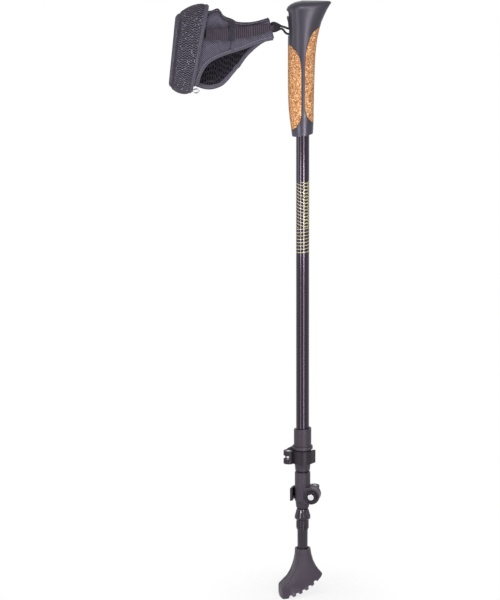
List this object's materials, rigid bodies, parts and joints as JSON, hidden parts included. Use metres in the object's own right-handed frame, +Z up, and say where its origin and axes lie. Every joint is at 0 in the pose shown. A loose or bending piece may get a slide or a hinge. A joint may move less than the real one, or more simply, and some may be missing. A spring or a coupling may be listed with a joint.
{
  "type": "nordic walking pole",
  "caption": "Three-section nordic walking pole with cork-inlaid hooked grip, glove strap on a release trigger, cam lever clamps and a boot-shaped rubber paw.",
  "frame": {"origin": "on the shaft's axis at the middle of the hand on the grip", "axes": "+Z up the shaft towards the head, +X the way the walker goes, the strap lies towards -X"},
  "size_m": [0.1696, 0.0478, 0.6513],
  "materials": {
    "soft_rubber": "soft matt moulding",
    "cork": "fine pressed cork",
    "black_nylon": "satin moulding",
    "steel": "bright",
    "carbide": "ground carbide",
    "gloss_tube": "gloss black lacquer with pale stripes",
    "strap_mesh": "spacer mesh",
    "strap_web": "ribbed webbing",
    "strap_twill": "twill",
    "cord": "braided cord",
    "paw_rubber": "matt rubber"
  },
  "bodies": {
    "upper_section": {"grip_core": "soft_rubber", "front_cork": "cork", "rear_cork": "cork", "trigger_pin": "steel", "catch_pin": "steel", "trigger_spring": "steel", "upper_tube": "gloss_tube", "upper_collar": "black_nylon", "upper_barrel_pin": "steel"},
    "trigger": {"trigger_lever": "black_nylon"},
    "cord_loop": {"strap_cord": "cord"},
    "hand_strap": {"front_leaf": "strap_mesh", "palm_leaf": "strap_mesh", "front_patch": "strap_twill", "palm_patch": "strap_twill", "strap_webbing": "strap_web", "wrist_band": "strap_mesh", "wrist_flap": "strap_web", "strap_ring": "steel"},
    "upper_clamp_lever": {"upper_lever": "black_nylon"},
    "upper_tension_knob": {"upper_knob": "black_nylon", "upper_bolt": "steel"},
    "middle_section": {"middle_tube": "gloss_tube", "middle_guide": "black_nylon", "lower_collar": "black_nylon", "lower_barrel_pin": "steel"},
    "lower_clamp_lever": {"lower_lever": "black_nylon"},
    "lower_tension_knob": {"lower_knob": "black_nylon", "lower_bolt": "steel"},
    "lower_section": {"lower_tube": "gloss_tube", "lower_guide": "black_nylon", "tip_ferrule": "black_nylon", "carbide_tip": "carbide"},
    "paw": {"rubber_paw": "paw_rubber", "paw_washer": "steel"}
  },
  "joints": [
    {"name": "trigger_press", "type": "hinge", "parent": "upper_section", "child": "trigger", "pos_m": [-0.004, 0, 0.061], "axis": [0, 1, 0], "range_deg": [0, 18], "stiffness_Nm_per_rad": 0.12, "springref_deg": -8.59, "deforming": ["trigger_spring"]},
    {"name": "loop_swivel", "type": "hinge", "parent": "upper_section", "child": "cord_loop", "pos_m": [-0.0106, 0, 0.0535], "axis": [0, 0, 1], "range_deg": [-20, 20]},
    {"name": "strap_swing", "type": "hinge", "parent": "cord_loop", "child": "hand_strap", "pos_m": [-0.0332, 0, 0.0574], "axis": [0, 1, 0], "range_deg": [-35, 45], "deforming": ["strap_cord"]},
    {"name": "upper_lever_open", "type": "hinge", "parent": "upper_section", "child": "upper_clamp_lever", "pos_m": [-0.01509, -0.00434, -0.4088], "axis": [0, 0, -1], "range_deg": [0, 150]},
    {"name": "upper_knob_turn", "type": "hinge", "parent": "upper_section", "child": "upper_tension_knob", "pos_m": [-0.00944, 0.00545, -0.4088], "axis": [-0.5, -0.866, 0], "continuous": true},
    {"name": "middle_section_slide", "type": "slide", "parent": "upper_section", "child": "middle_section", "axis": [0, 0, -1], "range_m": [0, 0.345]},
    {"name": "lower_lever_open", "type": "hinge", "parent": "middle_section", "child": "lower_clamp_lever", "pos_m": [0.0127, 0.00924, -0.4517], "axis": [0, 0, -1], "range_deg": [0, 150]},
    {"name": "lower_knob_turn", "type": "hinge", "parent": "middle_section", "child": "lower_tension_knob", "pos_m": [0.01073, -0.00189, -0.4517], "axis": [0.1736, 0.9848, 0], "continuous": true},
    {"name": "lower_section_slide", "type": "slide", "parent": "middle_section", "child": "lower_section", "axis": [0, 0, -1], "range_m": [0, 0.345]},
    {"name": "paw_pull_off", "type": "slide", "parent": "lower_section", "child": "paw", "axis": [0, 0, -1], "range_m": [0, 0.032]}
  ]
}
